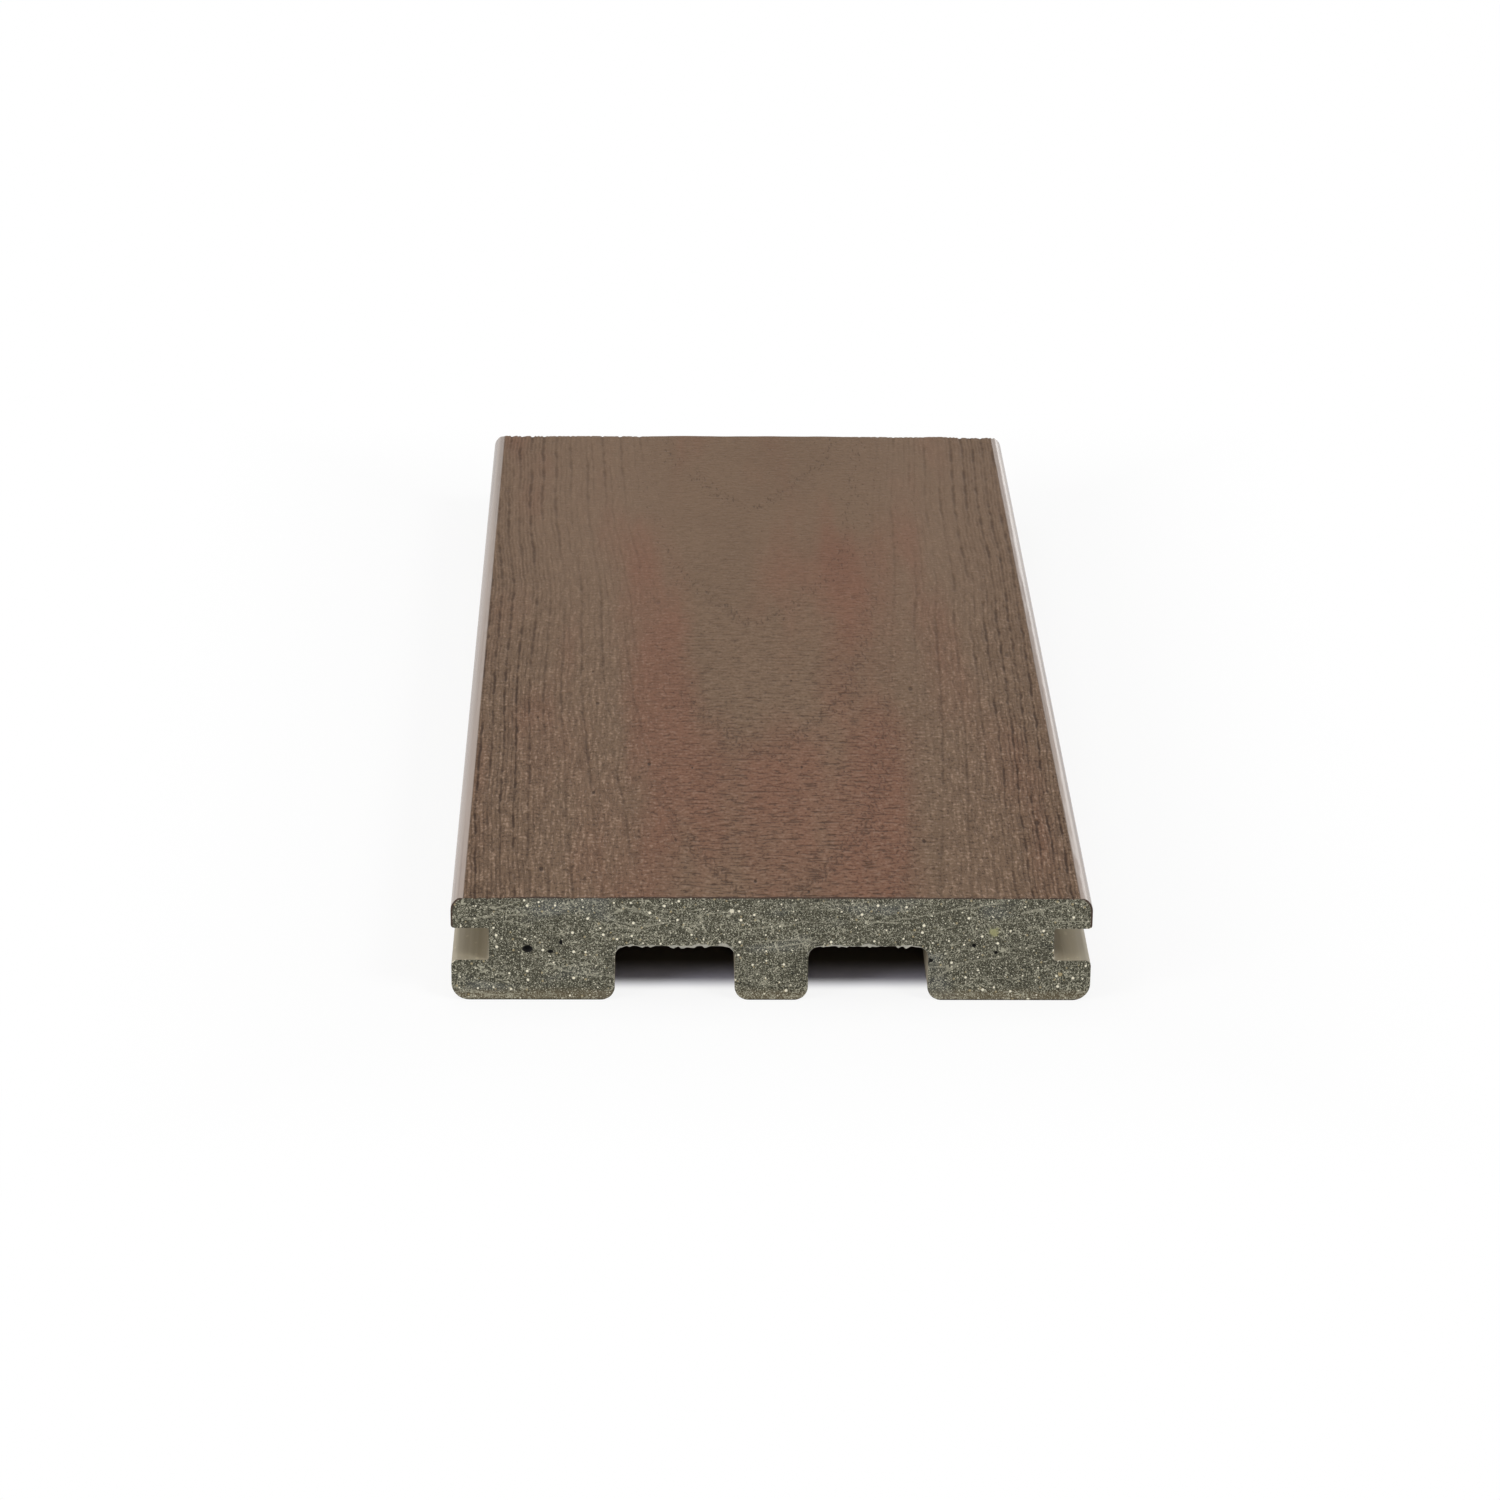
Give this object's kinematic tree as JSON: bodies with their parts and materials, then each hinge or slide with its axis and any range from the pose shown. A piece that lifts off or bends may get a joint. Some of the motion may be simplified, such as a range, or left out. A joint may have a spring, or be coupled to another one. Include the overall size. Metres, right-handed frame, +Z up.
{
  "type": "decking board",
  "caption": "Short length of grooved composite decking board: embossed top, clip groove along each edge, hollow channels underneath, sawn square ends.",
  "frame": {"origin": "under the middle of the board, on the plane its feet lie on", "axes": "+X across the board, +Y along its length, +Z up through the walking face"},
  "size_m": [0.136, 0.305, 0.024],
  "materials": {
    "composite": "matte embossed wood grain skin over a speckled grey core"
  },
  "bodies": {
    "root": {"decking_board": "composite"}
  },
  "joints": []
}
